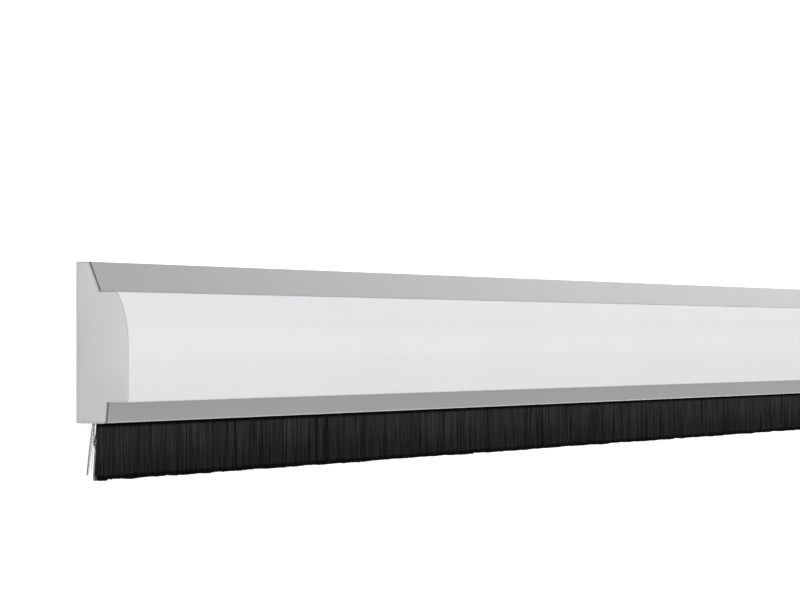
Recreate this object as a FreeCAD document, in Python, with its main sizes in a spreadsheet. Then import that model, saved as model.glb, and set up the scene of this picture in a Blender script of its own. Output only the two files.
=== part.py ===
# Brush draught strip for the bottom edge of a door, lying on its back.
# Lengths in millimetres. X runs along the strip, +Y towards the top lip, Z away from the door.
import FreeCAD, Part
import Sketcher
import math
import os

doc = FreeCAD.newDocument("DraughtStrip")

# Driving sizes
sizes = [
    ("strip_length", 1000.0, "overall length with both end caps"),
    ("profile_height", 28.2, "foot to top edge of the carrier"),
    ("brush_drop", 10.15, "bristles below the foot"),
    ("back_wall", 1.2, "carrier wall against the door, and its top wall"),
    ("top_depth", 2.45, "depth of the flat top edge"),
    ("lip_depth", 4.75, "depth of the sloped top lip at its edge"),
    ("lip_drop", 5.25, "height of the sloped top lip"),
    ("lip_wall", 1.1, "wall of the top lip"),
    ("foot_depth", 6.0, "depth of the foot"),
    ("foot_lip_depth", 6.4, "depth of the bottom lip at its upper edge"),
    ("foot_lip_rise", 3.65, "height of the bottom lip"),
    ("foot_lip_wall", 0.8, "wall of the bottom lip"),
    ("foot_floor", 0.9, "ledges that hold the brush spine"),
    ("channel_roof", 0.9, "wall over the brush channel"),
    ("rib_wall", 1.0, "hooked ribs on the back wall"),
    ("rib_depth", 4.8, "depth of the hooked ribs"),
    ("nib_depth", 4.0, "depth of the shoulder behind a rib's nib"),
    ("nib_reach", 0.6, "how far a rib's nib stands out"),
    ("nib_land", 0.3, "flat tip of a nib before its lead-in slope"),
    ("nib_room", 0.2, "room between a leg's hook and the rib"),
    ("hook_play", 0.05, "play between hook and nib in depth"),
    ("cover_gap", 0.06, "joint between the cover and each lip"),
    ("cover_depth", 11.05, "depth of the cover's flat front"),
    ("cover_wall", 1.2, "front wall of the cover"),
    ("bow_start", 13.8, "height where the flat front turns into the bow"),
    ("bow_radius", 19.5, "radius of the bow"),
    ("leg_wall", 1.0, "hooked legs of the cover"),
    ("leg_end", 3.0, "depth of the legs' ends"),
    ("hook_reach", 1.4, "how far a leg's hook stands in"),
    ("hook_slope", 0.5, "lead-in slope of a hook"),
    ("brush_depth", 3.85, "depth of the brush's middle"),
    ("brush_thickness", 1.6, "bristle pack, front to back"),
    ("spine_width", 2.8, "spine that grips the bristles"),
    ("spine_thickness", 0.8, "thickness of the spine"),
    ("slide_gap", 0.1, "clearance of the spine and bristles in the channel"),
    ("screw_hole", 4.2, "diameter of the screw holes"),
    ("screw_count", 5, "screw holes in the row"),
    ("screw_from_end", 40.0, "first and last screw from the strip's ends"),
    ("carrier_round", 0.15, "outer edges of the carrier"),
    ("foot_round", 0.4, "front edge of the foot"),
    ("joint_round", 0.1, "lip edges beside the cover"),
    ("cover_round_top", 0.8, "upper edge of the cover"),
    ("cover_round_bottom", 0.7, "lower edge of the cover"),
    ("cap_flange", 0.3, "outer plate of an end cap"),
    ("cap_step", 0.7, "inner plate of an end cap, set in to leave a shadow groove"),
    ("cap_bevel", 0.15, "bevel round the outer plate"),
    ("groove_depth", 0.3, "depth of the shadow groove"),
    ("plug_length", 12.0, "plug of an end cap, from its outer plate"),
    ("plug_wall", 1.2, "walls of the plug"),
    ("plug_depth", 8.3, "depth of the plug's front"),
    ("plug_gap", 0.1, "clearance of the plug in the carrier"),
]
sheet = doc.addObject("Spreadsheet::Sheet", "Sizes")
for row, (alias, value, note) in enumerate(sizes, 1):
    sheet.set(f"A{row}", alias)
    sheet.set(f"B{row}", str(value))
    sheet.set(f"C{row}", note)
    sheet.setAlias(f"B{row}", alias)
doc.recompute()

# Worked-out heights and depths, named once and used by every piece
derived = [
    ("cover_length", "strip_length - 2 * cap_flange"),
    ("cut_length", "cover_length - 2 * cap_step"),
    ("foot_place", "brush_drop / 2 - profile_height / 2"),
    ("lip_edge", "profile_height - lip_drop"),
    ("lip_slope", "sqrt(pow(lip_drop; 2) + pow(lip_depth - top_depth; 2)) / lip_drop"),
    ("lip_wall_flat", "lip_wall * lip_slope"),
    ("cover_top", "lip_edge - cover_gap"),
    ("cover_bottom", "foot_lip_rise + cover_gap"),
    ("bow_centre", "cover_depth - bow_radius"),
    ("bow_top", "bow_centre + sqrt(pow(bow_radius; 2) - pow(cover_top - bow_start; 2))"),
    ("leg_top_inner", "cover_top - leg_wall"),
    ("leg_bottom_inner", "cover_bottom + leg_wall"),
    ("hook_shoulder", "nib_depth - hook_play"),
    ("rib_top_outer", "leg_top_inner - hook_reach - nib_room"),
    ("rib_top_inner", "rib_top_outer - rib_wall"),
    ("rib_bottom_outer", "leg_bottom_inner + hook_reach + nib_room"),
    ("rib_bottom_inner", "rib_bottom_outer + rib_wall"),
    ("screw_height", "(rib_top_inner + rib_bottom_inner) / 2"),
    ("spine_top", "foot_floor + spine_thickness"),
    ("channel_top", "spine_top + slide_gap"),
    ("roof_top", "channel_top + channel_roof"),
]
for row, (alias, rule) in enumerate(derived, len(sizes) + 2):
    sheet.set(f"A{row}", alias)
    sheet.set(f"B{row}", "=" + rule)
    sheet.setAlias(f"B{row}", alias)
doc.recompute()

known = [entry[0] for entry in sizes] + [entry[0] for entry in derived]


def bound(rule):
    """The rule with every size read from the sheet."""
    words = []
    word = ""
    for letter in rule + " ":
        if letter.isalnum() or letter == "_":
            word += letter
            continue
        words.append("Sizes." + word if word in known else word)
        words.append(letter)
        word = ""
    return "".join(words).strip()


def plane_of(body, role):
    return [feature for feature in body.Origin.OriginFeatures if feature.Role == role][0]


def new_body(name):
    body = doc.addObject("PartDesign::Body", name)
    body.Label = name
    body.setExpression("Placement.Base.y", bound("foot_place"))
    return body


def new_sketch(body, name, role, offset=None):
    sketch = body.newObject("Sketcher::SketchObject", name)
    sketch.AttachmentSupport = [(plane_of(body, role), "")]
    sketch.MapMode = "FlatFace"
    if offset:
        sketch.setExpression("AttachmentOffset.Base.z", bound(offset))
    return sketch


def pin_point(sketch, side, place, across, up):
    """Ties one point of a sketch to the sheet; a part given as None stays free."""
    for kind, rule in (("DistanceX", across), ("DistanceY", up)):
        if rule is None:
            continue
        value = float(sketch.evalExpression(bound(rule)))
        index = sketch.addConstraint(Sketcher.Constraint(kind, -1, 1, side, place, value))
        sketch.setExpression(f"Constraints[{index}]", bound(rule))


def draw_outline(sketch, corners, arcs=None):
    """Closed outline: corners are (height, depth) rules, arcs give a centre for the side that follows."""
    arcs = arcs or {}

    def worth(rule):
        return float(sketch.evalExpression(bound(rule)))

    points = []
    for index, (across, up) in enumerate(corners):
        if up is not None:
            points.append(FreeCAD.Vector(worth(across), worth(up), 0))
            continue
        # the depth of this corner follows from the arc that it lies on
        side = index if index in arcs else index - 1
        centre = FreeCAD.Vector(worth(arcs[side][0]), worth(arcs[side][1]), 0)
        partner = corners[index + 1] if index in arcs else corners[index - 1]
        radius = (FreeCAD.Vector(worth(partner[0]), worth(partner[1]), 0) - centre).Length
        reach = worth(across) - centre.x
        points.append(FreeCAD.Vector(worth(across), centre.y + math.sqrt(radius ** 2 - reach ** 2), 0))

    ends = []
    for index, start in enumerate(points):
        finish = points[(index + 1) % len(points)]
        if index not in arcs:
            side = sketch.addGeometry(Part.LineSegment(start, finish))
            ends.append((side, 1, 2))
            continue
        centre = FreeCAD.Vector(worth(arcs[index][0]), worth(arcs[index][1]), 0)
        first = math.atan2(start.y - centre.y, start.x - centre.x)
        last = math.atan2(finish.y - centre.y, finish.x - centre.x)
        circle = Part.Circle(centre, FreeCAD.Vector(0, 0, 1), (start - centre).Length)
        side = sketch.addGeometry(Part.ArcOfCircle(circle, min(first, last), max(first, last)))
        ends.append((side, 1, 2) if first < last else (side, 2, 1))
    for index, (side, head, tail) in enumerate(ends):
        following = ends[(index + 1) % len(ends)]
        sketch.addConstraint(Sketcher.Constraint("Coincident", side, tail, following[0], following[1]))
    for index, (side, head, tail) in enumerate(ends):
        pin_point(sketch, side, head, corners[index][0], corners[index][1])
        if index in arcs:
            pin_point(sketch, side, 3, arcs[index][0], arcs[index][1])
    return sketch


def pad_along(body, sketch, name, length, symmetric=False, backwards=False):
    pad = body.newObject("PartDesign::Pad", name)
    pad.Profile = sketch
    pad.SideType = "Symmetric" if symmetric else "One side"
    pad.Reversed = backwards
    pad.setExpression("Length", bound(length))
    doc.recompute()
    return pad


def round_edges(body, name, rounds):
    """Rounds long edges of the body; each entry is a (height, depth) corner and a radius."""
    for radius in sorted(set(entry[2] for entry in rounds)):
        base = body.Tip
        corners = [(float(sheet.evalExpression(bound(height))), float(sheet.evalExpression(bound(depth))))
                   for height, depth, wanted in rounds if wanted == radius]
        names = []
        for number, edge in enumerate(base.Shape.Edges, 1):
            if len(edge.Vertexes) != 2:
                continue
            first, last = [vertex.Point for vertex in edge.Vertexes]
            if abs(first.y - last.y) > 1e-4 or abs(first.z - last.z) > 1e-4:
                continue
            if any(abs(first.y - height) < 1e-3 and abs(first.z - depth) < 1e-3 for height, depth in corners):
                names.append(f"Edge{number}")
        assert len(names) == len(corners), f"{name} finds {len(names)} of {len(corners)} edges"
        fillet = body.newObject("PartDesign::Fillet", name + radius.title().replace("_", ""))
        fillet.Base = (base, names)
        fillet.setExpression("Radius", bound(radius))
        doc.recompute()


# Carrier: one aluminium extrusion with top lip, bottom lip, hooked ribs and brush channel
lip_inner = "lip_depth - lip_wall_flat"
foot_inner = "foot_depth + (foot_lip_depth - foot_depth) * roof_top / foot_lip_rise - foot_lip_wall"
slot_front = "brush_depth + brush_thickness / 2 + slide_gap"
slot_rear = "brush_depth - brush_thickness / 2 - slide_gap"
channel_front = "brush_depth + spine_width / 2 + slide_gap"
channel_rear = "brush_depth - spine_width / 2 - slide_gap"
carrier_section = [
    ("0", "0"),
    ("profile_height", "0"),
    ("profile_height", "top_depth"),
    ("lip_edge", "lip_depth"),
    ("lip_edge", lip_inner),
    ("profile_height - back_wall",
     "top_depth + (lip_depth - top_depth) * back_wall / lip_drop - lip_wall_flat"),
    ("profile_height - back_wall", "back_wall"),
    ("rib_top_outer", "back_wall"),
    ("rib_top_outer", "nib_depth"),
    ("rib_top_outer + nib_reach", "nib_depth"),
    ("rib_top_outer + nib_reach", "nib_depth + nib_land"),
    ("rib_top_outer", "rib_depth"),
    ("rib_top_inner", "rib_depth"),
    ("rib_top_inner", "back_wall"),
    ("rib_bottom_inner", "back_wall"),
    ("rib_bottom_inner", "rib_depth"),
    ("rib_bottom_outer", "rib_depth"),
    ("rib_bottom_outer - nib_reach", "nib_depth + nib_land"),
    ("rib_bottom_outer - nib_reach", "nib_depth"),
    ("rib_bottom_outer", "nib_depth"),
    ("rib_bottom_outer", "back_wall"),
    ("roof_top", "back_wall"),
    ("roof_top", foot_inner),
    ("foot_lip_rise", "foot_lip_depth - foot_lip_wall"),
    ("foot_lip_rise", "foot_lip_depth"),
    ("0", "foot_depth"),
    ("0", slot_front),
    ("foot_floor", slot_front),
    ("foot_floor", channel_front),
    ("channel_top", channel_front),
    ("channel_top", channel_rear),
    ("foot_floor", channel_rear),
    ("foot_floor", slot_rear),
    ("0", slot_rear),
]
carrier = new_body("carrier")
carrier_sketch = draw_outline(new_sketch(carrier, "CarrierSection", "YZ_Plane"), carrier_section)
pad_along(carrier, carrier_sketch, "CarrierLength", "cut_length", symmetric=True)
foot_rounds = [("0", "foot_depth", "foot_round")]
carrier_rounds = [
    ("0", "0", "carrier_round"),
    ("profile_height", "0", "carrier_round"),
    ("profile_height", "top_depth", "carrier_round"),
    ("lip_edge", "lip_depth", "joint_round"),
    ("foot_lip_rise", "foot_lip_depth", "joint_round"),
]
round_edges(carrier, "Carrier", carrier_rounds + foot_rounds)

# Screw holes through the back wall, between the ribs
solid_before = carrier.Shape.Volume
hole_sketch = new_sketch(carrier, "ScrewHole", "XY_Plane")
circle = Part.Circle(FreeCAD.Vector(-100, 10, 0), FreeCAD.Vector(0, 0, 1), 2)
hole_side = hole_sketch.addGeometry(circle)
pin_point(hole_sketch, hole_side, 3, "screw_from_end - strip_length / 2", "screw_height")
wide = hole_sketch.addConstraint(Sketcher.Constraint("Diameter", hole_side, 4))
hole_sketch.setExpression(f"Constraints[{wide}]", bound("screw_hole"))
doc.recompute()
hole = carrier.newObject("PartDesign::Pocket", "ScrewHoleCut")
hole.Profile = hole_sketch
hole.Reversed = True
hole.setExpression("Length", bound("back_wall"))
doc.recompute()
solid_after = carrier.Shape.Volume
row_of_holes = carrier.newObject("PartDesign::LinearPattern", "ScrewHoleRow")
row_of_holes.Originals = [hole]
row_of_holes.Direction = (plane_of(carrier, "X_Axis"), [""])
row_of_holes.setExpression("Length", bound("strip_length - 2 * screw_from_end"))
row_of_holes.setExpression("Occurrences", bound("screw_count"))
carrier.Tip = row_of_holes
doc.recompute()
one_hole = math.pi * (sheet.screw_hole / 2) ** 2 * sheet.back_wall
assert abs(solid_before - solid_after - one_hole) < 0.01, "the screw hole cuts nothing"
assert abs(solid_before - carrier.Shape.Volume - one_hole * sheet.screw_count) < 0.1, "the row is short of holes"

# Cover: bowed front with two hooked legs that clip over the ribs
cover_section = [
    ("cover_bottom", "cover_depth"),
    ("bow_start", "cover_depth"),
    ("cover_top", None),
    ("cover_top", "leg_end"),
    ("leg_top_inner", "leg_end"),
    ("leg_top_inner - hook_reach", "leg_end + hook_slope"),
    ("leg_top_inner - hook_reach", "hook_shoulder"),
    ("leg_top_inner", "hook_shoulder"),
    ("leg_top_inner", None),
    ("bow_start", "cover_depth - cover_wall"),
    ("leg_bottom_inner", "cover_depth - cover_wall"),
    ("leg_bottom_inner", "hook_shoulder"),
    ("leg_bottom_inner + hook_reach", "hook_shoulder"),
    ("leg_bottom_inner + hook_reach", "leg_end + hook_slope"),
    ("leg_bottom_inner", "leg_end"),
    ("cover_bottom", "leg_end"),
]
bow = ("bow_start", "bow_centre")
cover = new_body("cover")
cover_sketch = draw_outline(new_sketch(cover, "CoverSection", "YZ_Plane"), cover_section, {1: bow, 8: bow})
pad_along(cover, cover_sketch, "CoverLength", "cover_length", symmetric=True)
cover_rounds = [
    ("cover_top", "bow_top", "cover_round_top"),
    ("cover_bottom", "cover_depth", "cover_round_bottom"),
]
round_edges(cover, "Cover", cover_rounds)

# Brush: a spine that slides in the channel, with the bristle pack below it
spine_section = [
    ("foot_floor", "brush_depth - spine_width / 2"),
    ("spine_top", "brush_depth - spine_width / 2"),
    ("spine_top", "brush_depth + spine_width / 2"),
    ("foot_floor", "brush_depth + spine_width / 2"),
]
spine = new_body("brush_spine")
spine_sketch = draw_outline(new_sketch(spine, "SpineSection", "YZ_Plane"), spine_section)
pad_along(spine, spine_sketch, "SpineLength", "cut_length", symmetric=True)

bristle_section = [
    ("-brush_drop", "brush_depth - brush_thickness / 2"),
    ("foot_floor", "brush_depth - brush_thickness / 2"),
    ("foot_floor", "brush_depth + brush_thickness / 2"),
    ("-brush_drop", "brush_depth + brush_thickness / 2"),
]
bristles = new_body("bristles")
bristle_sketch = draw_outline(new_sketch(bristles, "BristleSection", "YZ_Plane"), bristle_section)
pad_along(bristles, bristle_sketch, "BristleLength", "cut_length", symmetric=True)

# End caps: a bevelled outer plate over the whole section, a smaller inner plate that leaves
# a shadow groove against the carrier, and a hollow plug between the ribs
cap_outline = [
    ("0", "0"),
    ("profile_height", "0"),
    ("profile_height", "top_depth"),
    ("lip_edge", "lip_depth"),
    ("cover_top", None),
    ("bow_start", "cover_depth"),
    ("cover_bottom", "cover_depth"),
    ("foot_lip_rise", "foot_lip_depth"),
    ("0", "foot_depth"),
]
step_outline = [
    ("groove_depth", "groove_depth"),
    ("profile_height - groove_depth", "groove_depth"),
    ("profile_height - groove_depth",
     "top_depth + (lip_depth - top_depth) * groove_depth / lip_drop - groove_depth * lip_slope"),
    ("lip_edge", "lip_depth - groove_depth * lip_slope"),
    ("lip_edge", "leg_end - groove_depth"),
    ("foot_lip_rise", "leg_end - groove_depth"),
    ("foot_lip_rise", "foot_lip_depth - groove_depth"),
    ("groove_depth", "foot_depth - groove_depth"),
]
plug_outline = [
    ("rib_bottom_inner + plug_gap", "back_wall + plug_gap"),
    ("rib_top_inner - plug_gap", "back_wall + plug_gap"),
    ("rib_top_inner - plug_gap", "plug_depth"),
    ("rib_bottom_inner + plug_gap", "plug_depth"),
]
plug_hollow = [
    ("rib_bottom_inner + plug_gap + plug_wall", "back_wall + plug_gap + plug_wall"),
    ("rib_top_inner - plug_gap - plug_wall", "back_wall + plug_gap + plug_wall"),
    ("rib_top_inner - plug_gap - plug_wall", "plug_depth - plug_wall"),
    ("rib_bottom_inner + plug_gap + plug_wall", "plug_depth - plug_wall"),
]


def make_end_cap(name, far_end):
    cap = new_body(name)
    cap.setExpression("Placement.Base.x", bound("strip_length / 2" if far_end else "-strip_length / 2"))
    inwards = "-cap_flange" if far_end else "cap_flange"

    flange_sketch = draw_outline(new_sketch(cap, name + "Flange", "YZ_Plane"), cap_outline, {4: bow})
    pad_along(cap, flange_sketch, name + "FlangePad", "cap_flange", backwards=far_end)
    round_edges(cap, name + "Rounds", foot_rounds + cover_rounds)
    flange = cap.Tip
    rim = [f"Edge{number}" for number, edge in enumerate(flange.Shape.Edges, 1)
           if abs(edge.BoundBox.XMin) < 1e-4 and abs(edge.BoundBox.XMax) < 1e-4]
    bevel = cap.newObject("PartDesign::Chamfer", name + "Bevel")
    bevel.Base = (flange, rim)
    bevel.setExpression("Size", bound("cap_bevel"))
    doc.recompute()

    step_sketch = draw_outline(new_sketch(cap, name + "Step", "YZ_Plane", offset=inwards), step_outline)
    pad_along(cap, step_sketch, name + "StepPad", "cap_step", backwards=far_end)
    plug_sketch = new_sketch(cap, name + "Plug", "YZ_Plane", offset=inwards)
    draw_outline(plug_sketch, plug_outline)
    draw_outline(plug_sketch, plug_hollow)
    pad_along(cap, plug_sketch, name + "PlugPad", "plug_length", backwards=far_end)
    return cap


end_cap_left = make_end_cap("end_cap_left", False)
end_cap_right = make_end_cap("end_cap_right", True)

# Checks, then one file for each piece
doc.recompute()
for item in doc.Objects:
    for word in ("Invalid", "Error"):
        assert word not in item.State, f"{item.Name} is {item.State}"
pieces = [carrier, cover, spine, bristles, end_cap_left, end_cap_right]
for piece in pieces:
    assert not piece.Shape.isNull() and piece.Shape.isValid(), f"{piece.Label} has no valid shape"
    assert len(piece.Shape.Solids) == 1, f"{piece.Label} is in {len(piece.Shape.Solids)} solids"
os.makedirs("parts", exist_ok=True)
for piece in pieces:
    piece.Shape.exportStep(f"parts/{piece.Label}.step")
    box = piece.Shape.BoundBox
    print(piece.Label, "volume", round(piece.Shape.Volume, 1), "X", round(box.XMin, 3), round(box.XMax, 3),
          "Y", round(box.YMin, 3), round(box.YMax, 3), "Z", round(box.ZMin, 3), round(box.ZMax, 3))
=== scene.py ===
import bpy, bmesh, math
from mathutils import Matrix, Vector


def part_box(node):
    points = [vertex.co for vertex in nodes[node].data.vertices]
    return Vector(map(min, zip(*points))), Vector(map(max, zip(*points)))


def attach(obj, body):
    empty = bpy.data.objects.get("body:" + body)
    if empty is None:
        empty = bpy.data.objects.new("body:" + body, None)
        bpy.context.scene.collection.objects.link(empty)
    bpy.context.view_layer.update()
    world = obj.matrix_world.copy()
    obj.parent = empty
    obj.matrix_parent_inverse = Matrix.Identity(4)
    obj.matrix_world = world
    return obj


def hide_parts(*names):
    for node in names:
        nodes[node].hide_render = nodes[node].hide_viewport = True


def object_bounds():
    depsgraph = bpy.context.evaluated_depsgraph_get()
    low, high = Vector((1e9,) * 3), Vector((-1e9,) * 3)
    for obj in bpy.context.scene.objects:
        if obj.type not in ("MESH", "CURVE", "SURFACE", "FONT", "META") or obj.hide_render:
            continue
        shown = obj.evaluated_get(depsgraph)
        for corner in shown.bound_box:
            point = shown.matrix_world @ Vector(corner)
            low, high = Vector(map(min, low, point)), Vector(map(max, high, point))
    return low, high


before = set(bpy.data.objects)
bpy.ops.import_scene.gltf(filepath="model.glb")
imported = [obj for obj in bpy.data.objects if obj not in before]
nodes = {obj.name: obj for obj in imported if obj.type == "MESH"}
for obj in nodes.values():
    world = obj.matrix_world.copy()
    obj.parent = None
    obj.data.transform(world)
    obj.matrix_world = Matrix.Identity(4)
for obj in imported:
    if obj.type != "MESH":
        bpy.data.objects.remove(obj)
cadLow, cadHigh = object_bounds()
scene = bpy.context.scene
mm = 0.001
print("frame loaded:", ", ".join(sorted(nodes)))


# Node graphs: a wire is a socket that takes part in sums, a graph makes every node in one way

class Wire:
    def __init__(self, graph, socket):
        self.graph, self.socket = graph, socket

    def sum(self, operation, *values, clamp=False):
        return self.graph.node("ShaderNodeMath", {"operation": operation, "use_clamp": clamp},
                               dict(enumerate(values)))

    def __add__(self, other):
        return self.sum("ADD", self, other)

    def __radd__(self, other):
        return self.sum("ADD", other, self)

    def __sub__(self, other):
        return self.sum("SUBTRACT", self, other)

    def __rsub__(self, other):
        return self.sum("SUBTRACT", other, self)

    def __mul__(self, other):
        return self.sum("MULTIPLY", self, other)

    def __rmul__(self, other):
        return self.sum("MULTIPLY", other, self)

    def __truediv__(self, other):
        return self.sum("DIVIDE", self, other)

    def __rtruediv__(self, other):
        return self.sum("DIVIDE", other, self)

    def __abs__(self):
        return self.sum("ABSOLUTE", self)

    def __getitem__(self, name):
        return Wire(self.graph, self.socket.node.outputs[name])

    def clamped(self):
        return self.sum("ADD", self, 0.0, clamp=True)

    def centred(self):
        # a noise is spread about 0.5, and this moves it to zero
        return self - 0.5

    def floored(self):
        return self.sum("FLOOR", self)

    def sine(self):
        return self.sum("SINE", self)

    def largest(self, other):
        return self.sum("MAXIMUM", self, other)

    def smallest(self, other):
        return self.sum("MINIMUM", self, other)


class Graph:
    def __init__(self, tree):
        self.tree = tree
        tree.nodes.clear()

    def node(self, kind, settings=None, values=None):
        made = self.tree.nodes.new(kind)
        for name, value in (settings or {}).items():
            setattr(made, name, value)
        for name, value in (values or {}).items():
            if isinstance(value, Wire):
                self.tree.links.new(value.socket, made.inputs[name])
            else:
                made.inputs[name].default_value = value
        shown = [socket for socket in made.outputs if socket.enabled]
        return Wire(self, shown[0]) if shown else None

    def place(self):
        return self.node("ShaderNodeTexCoord")["Object"]

    def axes(self, place):
        return self.node("ShaderNodeSeparateXYZ", {}, {0: place})

    def noise(self, place, scale=1.0, detail=2.0, roughness=0.5):
        return self.node("ShaderNodeTexNoise", {}, {
            "Vector": place, "Scale": scale, "Detail": detail, "Roughness": roughness})

    def streaks(self, place, perMetre, detail=2.0):
        # noise drawn out into lines, with its repeats per metre along X, Y and Z
        drawn = self.node("ShaderNodeVectorMath", {"operation": "MULTIPLY"}, {0: place, 1: perMetre})
        return self.noise(drawn, detail=detail)

    def blend(self, amount, first, second):
        return self.node("ShaderNodeMix", {"data_type": "RGBA"}, {0: amount, 6: first, 7: second})


def grey(level, cool=0.0):
    # an sRGB grey from 0 to 255 with a little more blue, as the linear colour that a socket wants
    def linear(value):
        value = value / 255
        return value / 12.92 if value <= 0.04045 else ((value + 0.055) / 1.055) ** 2.4
    return (linear(level), linear(level), linear(level + cool), 1.0)


def newMaterial(name):
    material = bpy.data.materials.new(name)
    material.use_nodes = True
    return material, Graph(material.node_tree)


def closeFinish(graph, look, surface, relief=None):
    # the shader and the output, with a bump where the finish has relief
    values = dict(surface)
    if relief is not None:
        values["Normal"] = graph.node("ShaderNodeBump", {}, {
            "Height": relief, "Strength": look["bumpStrength"], "Distance": look["bumpDepth"]})
    shader = graph.node("ShaderNodeBsdfPrincipled", {}, values)
    graph.node("ShaderNodeOutputMaterial", {}, {"Surface": shader})


# In each look below, lines and streaks are given in repeats per metre along X, Y and Z,
# other patterns in repeats per metre, and "shade" runs from 0, the dark colour, to 1, the light one

# Carrier: satin anodised extrusion, with die lines along it

carrierLook = {
    "dark": grey(149, 1), "light": grey(159, 1), "shade": 0.5,
    "dieLines": (5, 5200, 5200), "lineShade": 0.9,
    "clouds": 22, "cloudShade": 0.8,
    "grain": 7000, "grainShade": 0.5,
    "roughness": 0.34, "lineRoughness": 0.10, "cloudRoughness": 0.08,
    "lineRelief": 0.7, "grainRelief": 0.3, "bumpStrength": 0.12, "bumpDepth": 0.03 * mm,
}


def satinAnodised():
    look = carrierLook
    material, graph = newMaterial("satinAnodised")
    place = graph.place()
    lines = graph.streaks(place, look["dieLines"], detail=3)
    grain = graph.noise(place, look["grain"], detail=2, roughness=0.6)
    clouds = graph.noise(place, look["clouds"], detail=3)
    shade = (look["shade"] + lines.centred() * look["lineShade"] + clouds.centred() * look["cloudShade"]
             + grain.centred() * look["grainShade"]).clamped()
    closeFinish(graph, look, {
        "Base Color": graph.blend(shade, look["dark"], look["light"]),
        "Metallic": 1.0,
        "Roughness": look["roughness"] + lines.centred() * look["lineRoughness"]
        + clouds.centred() * look["cloudRoughness"],
    }, lines * look["lineRelief"] + grain * look["grainRelief"])
    return material


# Cover: smooth white extruded plastic

coverLook = {
    "dark": grey(221, 2), "light": grey(231, 2), "shade": 0.5,
    "flowLines": (3, 1400, 1400), "lineShade": 0.25,
    "clouds": 30, "cloudShade": 0.5, "specks": 5000,
    "crest": 5.0 * mm, "crestReach": 3.6 * mm, "paler": 0.34,    # painted highlight: a pale stripe along the bow's crest
    "foot": 2.0 * mm, "footReach": 6.5 * mm, "darker": 0.20,     # and painted shade, darker at the bow's foot
    "roughness": 0.42, "cloudRoughness": 0.08, "speckRoughness": 0.06,
    "refraction": 1.5, "specular": 0.2,
    "lineRelief": 0.6, "speckRelief": 0.4, "bumpStrength": 0.08, "bumpDepth": 0.03 * mm,
}


def whitePlastic():
    look = coverLook
    material, graph = newMaterial("whitePlastic")
    place = graph.place()
    lines = graph.streaks(place, look["flowLines"], detail=2)
    clouds = graph.noise(place, look["clouds"], detail=3)
    specks = graph.noise(place, look["specks"], detail=2)
    height = graph.axes(place)["Y"]
    # painted highlight along the bow's crest, and painted shade at its foot
    fromCrest = (height - look["crest"]) / look["crestReach"]
    crest = (1.0 - fromCrest * fromCrest).clamped()
    foot = ((look["foot"] - height) / look["footReach"]).clamped()
    shade = (look["shade"] + clouds.centred() * look["cloudShade"] + lines.centred() * look["lineShade"]
             + crest * look["paler"] - foot * look["darker"]).clamped()
    closeFinish(graph, look, {
        "Base Color": graph.blend(shade, look["dark"], look["light"]),
        "Roughness": look["roughness"] + clouds.centred() * look["cloudRoughness"]
        + specks.centred() * look["speckRoughness"],
        "IOR": look["refraction"],
        "Specular IOR Level": look["specular"],
    }, lines * look["lineRelief"] + specks * look["speckRelief"])
    return material


# End caps: light grey moulded plastic with a fine spark-eroded skin

capLook = {
    "dark": grey(191, 2), "light": grey(207, 2), "rim": grey(179, 2), "shade": 0.10,
    "skin": 4200, "skinShade": 0.3, "clouds": 60, "cloudShade": 0.8,
    "frontShade": 0.3,                                                   # painted light, paler towards the front,
    "paleMiddle": 4.2 * mm, "paleReach": 7.5 * mm, "middleShade": 0.6,   # a painted highlight around this height,
    "paleTop": 7.0 * mm, "topReach": 5.0 * mm, "topShade": 0.3,          # and painted light above this one
    "rimWidth": 0.05 * mm,                      # painted shade on the cap's sides starts this far behind the end face
    "edgeWidth": 0.6 * mm, "edgeShade": 1.3,    # a little darker along the back, top and bottom edges
    "roughness": 0.32, "skinRoughness": 0.12, "bumpStrength": 0.12, "bumpDepth": 0.04 * mm,
}


def greyMoulding():
    look = capLook
    material, graph = newMaterial("greyMoulding")
    place = graph.place()
    skin = graph.noise(place, look["skin"], detail=3, roughness=0.6)
    clouds = graph.noise(place, look["clouds"], detail=2)
    axes = graph.axes(place)
    along, height, depth = axes["X"], axes["Y"], axes["Z"] / cadHigh.z
    # painted light on the end face: paler towards its front and top, with a painted highlight around its
    # middle
    fromMiddle = (height - look["paleMiddle"]) / look["paleReach"]
    paintedHighlight = (1.0 - fromMiddle * fromMiddle).clamped() * depth
    paintedTopLight = ((height - look["paleTop"]) / look["topReach"]).clamped()
    shade = (look["shade"] + clouds.centred() * look["cloudShade"] + skin.centred() * look["skinShade"]
             + depth * look["frontShade"] + paintedHighlight * look["middleShade"] + paintedTopLight * look["topShade"]).clamped()
    # painted shade: the cap's sides behind the end face take a darker colour
    rim = ((cadHigh.x - abs(along)) / look["rimWidth"]).clamped()
    # a little darker along the back, top and bottom edges, in the same colour as the sides
    capLow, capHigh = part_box("end_cap_left")
    fromEdge = axes["Z"].smallest(capHigh.y - height).smallest(height - capLow.y)
    edges = ((1.0 - fromEdge / look["edgeWidth"]) * look["edgeShade"]).clamped()
    face = graph.blend(shade, look["dark"], look["light"])
    closeFinish(graph, look, {
        "Base Color": graph.blend(rim.largest(edges), face, look["rim"]),
        "Roughness": look["roughness"] + skin.centred() * look["skinRoughness"],
    }, skin)
    return material


# Brush spine: black plastic strip in the channel

spineLook = {
    "dark": grey(26), "light": grey(44), "scuffs": (40, 2500, 2500),
    "roughness": 0.5, "scuffRoughness": 0.2, "bumpStrength": 0.15, "bumpDepth": 0.05 * mm,
}


def blackSpine():
    look = spineLook
    material, graph = newMaterial("blackSpine")
    scuffs = graph.streaks(graph.place(), look["scuffs"], detail=3)
    closeFinish(graph, look, {
        "Base Color": graph.blend(scuffs.clamped(), look["dark"], look["light"]),
        "Roughness": look["roughness"] + scuffs.centred() * look["scuffRoughness"],
    }, scuffs)
    return material


# Bristles: black synthetic filaments, streaked from root to tip, with painted light, painted shade between
# tufts, a painted shadow below the foot and darker tips

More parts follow.
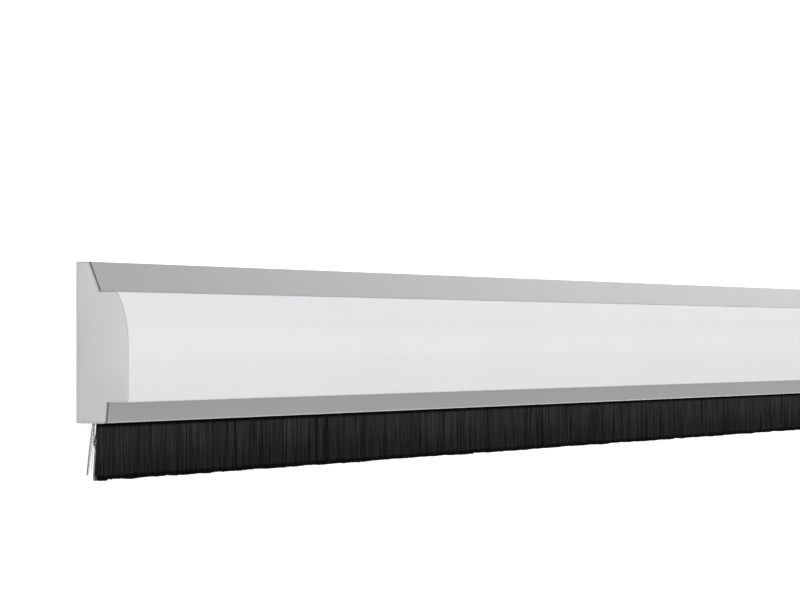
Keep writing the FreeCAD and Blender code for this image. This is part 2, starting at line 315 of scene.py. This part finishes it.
bristleLook = {
    "dark": grey(24, 3), "light": grey(64, 3), "pit": grey(6, 1), "shade": 0.46,
    "filaments": (2800, 18, 2800), "filamentShade": 1.4,
    "tufts": (600, 30, 300), "tuftShade": 1.2,
    "bundles": 520, "bundleShade": 0.1, "drift": (120, 12, 0), "driftTurn": 18.0,
    "creases": (700, 16, 120), "creaseFrom": 0.63, "creaseShade": 6.0,    # painted shade in the gaps between tufts
    "patches": (60, 0, 0), "patchFrom": 0.40, "patchGain": 4.0,           # where streaks are strong
    "calm": 0.05, "lively": 2.0,                                          # streaks outside and inside
    "tipStreaks": 0.25, "rootStreaks": 0.95,                              # and what the roots add
    "rootShade": 0.6, "evenShade": 0.25,                                  # painted light, paler towards the foot and darker towards the tips
    "pressedRoots": 0.9 * mm, "rootFade": 0.5 * mm,                       # a painted shadow band below the foot, and a darker band at the tips
    "cutTips": 1.25 * mm, "tipFade": 0.4 * mm,
    "roughness": 0.6, "filamentRoughness": 0.2, "specular": 0.06,
}


def blackFilament():
    look = bristleLook
    material, graph = newMaterial("blackFilament")
    place = graph.place()
    axes = graph.axes(place)
    along, height = axes["X"], axes["Y"]
    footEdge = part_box("carrier")[0].y

    fine = graph.streaks(place, look["filaments"], detail=1)
    tufts = graph.streaks(place, look["tufts"], detail=2)
    drift = graph.streaks(place, look["drift"], detail=2)
    bundles = (along * (2 * math.pi * look["bundles"]) + drift * look["driftTurn"]).sine()
    patches = ((graph.streaks(place, look["patches"], detail=2) - look["patchFrom"])
               * look["patchGain"]).clamped()
    streaks = ((fine.centred() * look["filamentShade"] + tufts.centred() * look["tuftShade"]
                + bundles * look["bundleShade"]) * (patches * look["lively"] + look["calm"]))
    creases = graph.streaks(place, look["creases"], detail=2)
    # painted shade in narrow gaps between tufts
    paintedGapShade = (creases - look["creaseFrom"]).largest(0.0) * look["creaseShade"]

    # painted light: filaments paler towards the foot, darker towards the tips
    fromTip = ((height - cadLow.y) / (footEdge - cadLow.y)).clamped()
    paler = (fromTip * fromTip * fromTip - look["evenShade"]) * look["rootShade"]
    shade = (look["shade"] + streaks * (look["tipStreaks"] + fromTip * look["rootStreaks"]) + paler
             - paintedGapShade).clamped()
    # painted shadow in a band below the foot's edge, where the foot overhangs the brush, and a darker band
    # at the tips
    root = ((look["pressedRoots"] + height - footEdge) / look["rootFade"]).clamped()
    tip = ((look["cutTips"] - height + cadLow.y) / look["tipFade"]).clamped()
    filament = graph.blend(shade, look["dark"], look["light"])
    closeFinish(graph, look, {
        "Base Color": graph.blend((root + tip).clamped(), filament, look["pit"]),
        "Roughness": look["roughness"] + fine.centred() * look["filamentRoughness"],
        "Specular IOR Level": look["specular"],
    })
    return material


finishes = {
    "carrier": satinAnodised(), "cover": whitePlastic(), "end_cap": greyMoulding(),
    "brush_spine": blackSpine(), "bristles": blackFilament(),
}
for nodeName in nodes:
    slotName = "end_cap" if nodeName.startswith("end_cap") else nodeName
    nodes[nodeName].data.materials.clear()
    nodes[nodeName].data.materials.append(finishes[slotName])
print("finishes made:", ", ".join(finishes))


# Brush: filaments set out by Geometry Nodes, in four lengths

brushSizes = {
    "Depth": 1.5 * mm,           # pack, front to back
    "Bristle Length": 11.16 * mm,
    "Bristle Radius": 0.085 * mm,
    "Across": 10,                # rows, front to back
    "Pitch": 0.145 * mm,         # along the strip
    "Scatter": 0.07 * mm,
    "Lean": math.radians(2.0),
    "Comb": math.radians(2.2),
    "Flare": math.radians(3.4),  # outward turn of the filaments at both ends
    "Flare Reach": 3.0 * mm,
    "Shortening": 0.010,         # as a share of a filament's length, like both steps below
    "Tufts Per Metre": 330.0,
    "Tuft Step": 0.020,
    "Clump Step": 0.030,
    "taper": 0.8,                # a filament's tip against its root
    "sides": 3,
    "combing": (420, 0, 160),    # repeats per metre of the noises along X, Y and Z
    "waves": (90, 0, 60),
    "clumps": (1500, 0, 0),
    "waveTurn": 4.0,             # how far the waves shift the tufts, in tufts
    "tuftSlope": 0.4,            # slant of a tuft's lower edge, in steps
    "tuftSeed": 5,
    "endRoom": 0.8 * mm,         # bare channel at both ends
    "lengths": 4,
    "seed": 11,
    "seedStep": 20,
}
packLow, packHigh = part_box("bristles")


def brushTree():
    sizes = brushSizes
    tree = bpy.data.node_groups.new("setOutBristles", "GeometryNodeTree")
    graph = Graph(tree)
    tree.interface.new_socket("Geometry", in_out="OUTPUT", socket_type="NodeSocketGeometry")
    inputs = {
        "Float": ("Start", "End", "First", "Last", "Root", "Middle", "Depth", "Bristle Length",
                  "Bristle Radius", "Scatter", "Lean", "Comb", "Flare", "Flare Reach", "Shortening",
                  "Tufts Per Metre", "Tuft Step", "Clump Step"),
        "Int": ("Along", "Across", "Seed"),
        "Material": ("Filament",),
    }
    for kind, names in inputs.items():
        for name in names:
            tree.interface.new_socket(name, in_out="INPUT", socket_type="NodeSocket" + kind)
    given = graph.node("NodeGroupInput")

    def vector(x, y, z):
        return graph.node("ShaderNodeCombineXYZ", {}, {"X": x, "Y": y, "Z": z})

    def chance(low, high, seed):
        return graph.node("FunctionNodeRandomValue", {"data_type": "FLOAT"},
                          {2: low, 3: high, "Seed": given["Seed"] + seed})

    # roots: a grid along the channel, each point moved a little
    grid = graph.node("GeometryNodeMeshGrid", {}, {
        "Size X": given["End"] - given["Start"], "Size Y": given["Depth"],
        "Vertices X": given["Along"], "Vertices Y": given["Across"]})
    roots = graph.node("GeometryNodeTransform", {}, {
        "Geometry": grid, "Rotation": (math.pi / 2, 0, 0),
        "Translation": vector((given["Start"] + given["End"]) / 2, given["Root"], given["Middle"])})
    moved = vector(chance(-1, 1, seed=1) * given["Scatter"], 0.0, chance(-1, 1, seed=2) * given["Scatter"])
    roots = graph.node("GeometryNodeSetPosition", {}, {"Geometry": roots, "Offset": moved})

    # one filament, a tapered rod that points down from its root
    filament = graph.node("GeometryNodeMeshCone", {"fill_type": "NGON"}, {
        "Vertices": sizes["sides"], "Side Segments": 1, "Fill Segments": 1,
        "Radius Top": given["Bristle Radius"] * sizes["taper"], "Radius Bottom": given["Bristle Radius"],
        "Depth": given["Bristle Length"]})
    filament = graph.node("GeometryNodeTransform", {}, {
        "Geometry": filament, "Rotation": (math.pi / 2, 0, 0)})
    filament = graph.node("GeometryNodeSetShadeSmooth", {}, {"Geometry": filament})

    # turn: combed by a noise, leaning at random and flared at the strip's ends
    here = graph.node("GeometryNodeInputPosition")
    along = graph.axes(here)["X"]
    combing = graph.streaks(here, sizes["combing"], detail=2).centred()
    firstEnd = (1.0 - (along - given["First"]) / given["Flare Reach"]).clamped()
    lastEnd = (1.0 - (given["Last"] - along) / given["Flare Reach"]).clamped()
    flare = (lastEnd - firstEnd) * given["Flare"]
    turn = vector(chance(-1, 1, seed=3) * given["Lean"], chance(0, 2 * math.pi, seed=4),
                  combing * given["Comb"] + chance(-0.5, 0.5, seed=5) * given["Lean"] + flare)

    # length: each filament a little short, tufts in steps and clumps cut back
    short = chance(0, 1, seed=6)
    waves = graph.streaks(here, sizes["waves"], detail=3)
    phase = along * given["Tufts Per Metre"] + waves * sizes["waveTurn"]
    tuft = phase.floored()
    step = graph.node("FunctionNodeRandomValue", {"data_type": "FLOAT"},
                      {2: 0.0, 3: 1.0, "ID": tuft, "Seed": sizes["tuftSeed"]})
    clumps = graph.streaks(here, sizes["clumps"], detail=1).clamped()
    length = (1.0 - short * short * given["Shortening"] - step * given["Tuft Step"]
              - (phase - tuft) * given["Tuft Step"] * sizes["tuftSlope"] - clumps * given["Clump Step"])

    planted = graph.node("GeometryNodeInstanceOnPoints", {}, {
        "Points": roots, "Instance": filament, "Rotation": turn, "Scale": vector(1.0, length, 1.0)})
    whole = graph.node("GeometryNodeRealizeInstances", {}, {"Geometry": planted})
    whole = graph.node("GeometryNodeSetMaterial", {}, {"Geometry": whole, "Material": given["Filament"]})
    graph.node("NodeGroupOutput", {}, {"Geometry": whole})
    return tree


def madeByTree(name, tree, values):
    # runs the tree on an empty mesh and keeps the result as a plain mesh
    holder = bpy.data.objects.new(name, bpy.data.meshes.new(name + "Seed"))
    scene.collection.objects.link(holder)
    modifier = holder.modifiers.new("setOut", "NODES")
    modifier.node_group = tree
    for item in tree.interface.items_tree:
        if item.in_out == "INPUT" and item.name in values:
            modifier[item.identifier] = values[item.name]
    depsgraph = bpy.context.evaluated_depsgraph_get()
    mesh = bpy.data.meshes.new_from_object(holder.evaluated_get(depsgraph), depsgraph=depsgraph)
    mesh.name = name
    holder.modifiers.clear()
    holder.data = mesh
    return holder


brushNodes = brushTree()
first, last = packLow.x + brushSizes["endRoom"], packHigh.x - brushSizes["endRoom"]
for number in range(brushSizes["lengths"]):
    start = first + (last - first) * number / brushSizes["lengths"]
    end = first + (last - first) * (number + 1) / brushSizes["lengths"]
    inset = brushSizes["Pitch"] / 2
    values = dict(brushSizes, Start=start + inset, End=end - inset, First=first, Last=last,
                  Root=packHigh.y, Middle=(packLow.z + packHigh.z) / 2,
                  Along=round((end - start) / brushSizes["Pitch"]),
                  Seed=brushSizes["seed"] + brushSizes["seedStep"] * number,
                  Filament=finishes["bristles"])
    brush = madeByTree(f"brushLength{number + 1}", brushNodes, values)
    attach(brush, "root")
    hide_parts("bristles")
    brush.data.calc_loop_triangles()
    print(brush.name, "has", len(brush.data.loop_triangles), "triangles")


# Stray filaments bent out of the pack at both ends

strayLook = {
    "steps": 14, "sides": 5,
    # radius, then root, middle and tip, in mm, with x counted from the strip's end
    "paths": [
        (0.070, (1.10, -8.3, 3.04), (1.04, -11.2, 2.40), (0.72, -18.25, 1.82)),
        (0.050, (1.45, -8.3, 3.05), (1.25, -11.4, 2.45), (0.90, -18.05, 1.86)),
        (0.035, (1.65, -8.3, 3.05), (1.60, -11.4, 2.45), (1.15, -17.90, 1.88)),
        (0.035, (1.20, -8.3, 3.03), (1.40, -10.0, 2.70), (1.60, -12.4, 2.75)),
        (0.035, (1.45, -8.3, 3.05), (1.30, -10.4, 2.80), (1.80, -12.2, 3.00)),
        (0.030, (1.45, -8.3, 3.10), (1.40, -13.0, 2.65), (1.45, -17.2, 2.35)),
        (0.060, (2.00, -10.4, 3.40), (0.45, -12.3, 2.50), (2.00, -14.2, 3.40)),
        (0.060, (2.00, -10.8, 3.40), (0.70, -12.5, 2.60), (2.00, -13.9, 3.40)),
        (0.060, (2.00, -11.2, 3.40), (0.95, -12.2, 2.70), (2.00, -13.4, 3.40)),
        (0.085, (1.60, -8.3, 4.30), (1.45, -12.0, 4.50), (0.95, -15.6, 4.55)),
    ],
}


def bentFilament(bends, radius):
    # a round rod along the curve from root to tip that the middle bends
    steps, sides = strayLook["steps"], strayLook["sides"]
    root, middle, tip = (Vector(bend) * mm for bend in bends)
    points, faces = [], []
    for step in range(steps + 1):
        t = step / steps
        spot = root * (1 - t) ** 2 + middle * 2 * t * (1 - t) + tip * t ** 2
        ahead = ((middle - root) * (1 - t) + (tip - middle) * t).normalized()
        aside = ahead.cross(Vector((1, 0, 0))).normalized()
        other = ahead.cross(aside)
        for side in range(sides):
            turn = 2 * math.pi * side / sides
            points.append(spot + (aside * math.cos(turn) + other * math.sin(turn)) * radius)
    for step in range(steps):
        for side in range(sides):
            here, beside = step * sides + side, step * sides + (side + 1) % sides
            faces.append((here, beside, beside + sides, here + sides))
    faces.append(tuple(reversed(range(sides))))
    faces.append(tuple(range(steps * sides, (steps + 1) * sides)))
    return points, faces


def strayBristles():
    points, faces = [], []
    for end in (1, -1):
        for radius, *bends in strayLook["paths"]:
            placed = [((cadLow.x / mm + x) * end, y, z) for x, y, z in bends]
            rodPoints, rodFaces = bentFilament(placed, radius * mm)
            faces += [tuple(corner + len(points) for corner in face) for face in rodFaces]
            points += rodPoints
    mesh = bpy.data.meshes.new("strayBristles")
    mesh.from_pydata([tuple(point) for point in points], [], faces)
    mesh.materials.append(finishes["bristles"])
    shape = bmesh.new()
    shape.from_mesh(mesh)
    bmesh.ops.recalc_face_normals(shape, faces=shape.faces)
    shape.to_mesh(mesh)
    shape.free()
    made = bpy.data.objects.new("strayBristles", mesh)
    scene.collection.objects.link(made)
    return made


stray = strayBristles()
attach(stray, "root")
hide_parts("bristles")
print("stray filaments:", 2 * len(strayLook["paths"]))


# Floor and surround: pale to the lamps, plain white to the camera and in reflections

stageLook = {
    "floorColour": grey(231), "cameraGlow": 0.8, "daylight": 0.62,
    "reach": 14.0, "under": 0.05 * mm,      # the floor's half width, and its drop below the strip
}
white = (1, 1, 1, 1)


def seenDirectly(graph):
    path = graph.node("ShaderNodeLightPath")
    return path["Is Camera Ray"].largest(path["Is Glossy Ray"]).largest(path["Is Transmission Ray"])


def paleFloor():
    material, graph = newMaterial("paleFloor")
    matte = graph.node("ShaderNodeBsdfDiffuse", {}, {"Color": stageLook["floorColour"]})
    glow = graph.node("ShaderNodeEmission", {}, {
        "Color": white, "Strength": seenDirectly(graph) * stageLook["cameraGlow"]})
    both = graph.node("ShaderNodeAddShader", {}, {0: matte, 1: glow})
    graph.node("ShaderNodeOutputMaterial", {}, {"Surface": both})
    return material


def layFloor():
    reach, level = stageLook["reach"], -stageLook["under"]
    corners = [(-reach, -reach, level), (reach, -reach, level),
               (reach, reach, level), (-reach, reach, level)]
    mesh = bpy.data.meshes.new("floor")
    mesh.from_pydata(corners, [], [(0, 1, 2, 3)])
    mesh.materials.append(paleFloor())
    floor = bpy.data.objects.new("floor", mesh)
    scene.collection.objects.link(floor)


def whiteSurround():
    world = bpy.data.worlds.new("surround")
    scene.world = world
    world.use_nodes = True
    graph = Graph(world.node_tree)
    daylight = stageLook["daylight"]
    background = graph.node("ShaderNodeBackground", {}, {
        "Color": white, "Strength": daylight + seenDirectly(graph) * (1.0 - daylight)})
    graph.node("ShaderNodeOutputWorld", {}, {"Surface": background})


layFloor()
whiteSurround()


# Lamps: place, aim, width, height and power

softboxes = {
    "overheadSoftbox": ((-0.2, 0.1, 1.65), (-0.2, 0.0, 0.0), 1.6, 1.2, 3.1),
    "sideSoftbox": ((-3.0, 0.4, 3.1), (-0.4, 0.0, 0.0), 3.0, 3.0, 68.5),
    "farSoftbox": ((2.6, 1.15, 0.6), (-0.2, 0.0, 0.0), 1.0, 0.8, 4),
    "lowSoftbox": ((3.0, -2.2, 0.4), (-0.2, 0.0, 0.0), 2.4, 0.6, 14),
}


def softLamp(name, place, aim, width, height, power):
    light = bpy.data.lights.new(name, "AREA")
    light.shape, light.size, light.size_y, light.energy = "RECTANGLE", width, height, power
    lamp = bpy.data.objects.new(name, light)
    scene.collection.objects.link(lamp)
    lamp.location = place
    lamp.rotation_euler = (Vector(aim) - Vector(place)).to_track_quat("-Z", "Y").to_euler()


for name, setting in softboxes.items():
    softLamp(name, *setting)


# Camera: level with the strip's length and height, as if the strip stood upright

cameraSetup = {
    "yaw": 60.0,                    # turn of the view towards the strip's length, in degrees
    "lens": 128.6, "sensor": 36.0,
    "alongBack": 403.2 * mm,        # before the strip's near end
    "above": 298.05 * mm, "height": 5.775 * mm,
    "shift": 0.048,
    "nearest": 0.02,                # nothing closer than this is drawn
}


def placeCamera():
    setup = cameraSetup
    yaw = math.radians(setup["yaw"])
    camera = bpy.data.objects.new("camera", bpy.data.cameras.new("camera"))
    scene.collection.objects.link(camera)
    camera.data.lens, camera.data.sensor_width = setup["lens"], setup["sensor"]
    camera.data.shift_y = setup["shift"]
    camera.data.clip_start = setup["nearest"]
    right = Vector((math.cos(yaw), 0, math.sin(yaw)))
    up = Vector((0, 1, 0))
    back = right.cross(up)
    turn = Matrix((right, up, back)).transposed()
    camera.rotation_mode = "QUATERNION"
    camera.rotation_quaternion = turn.to_quaternion()
    camera.location = (cadLow.x - setup["alongBack"], setup["height"], setup["above"])
    scene.camera = camera


placeCamera()
scene.view_settings.view_transform = "Standard"
print("stage, lamps and camera set")
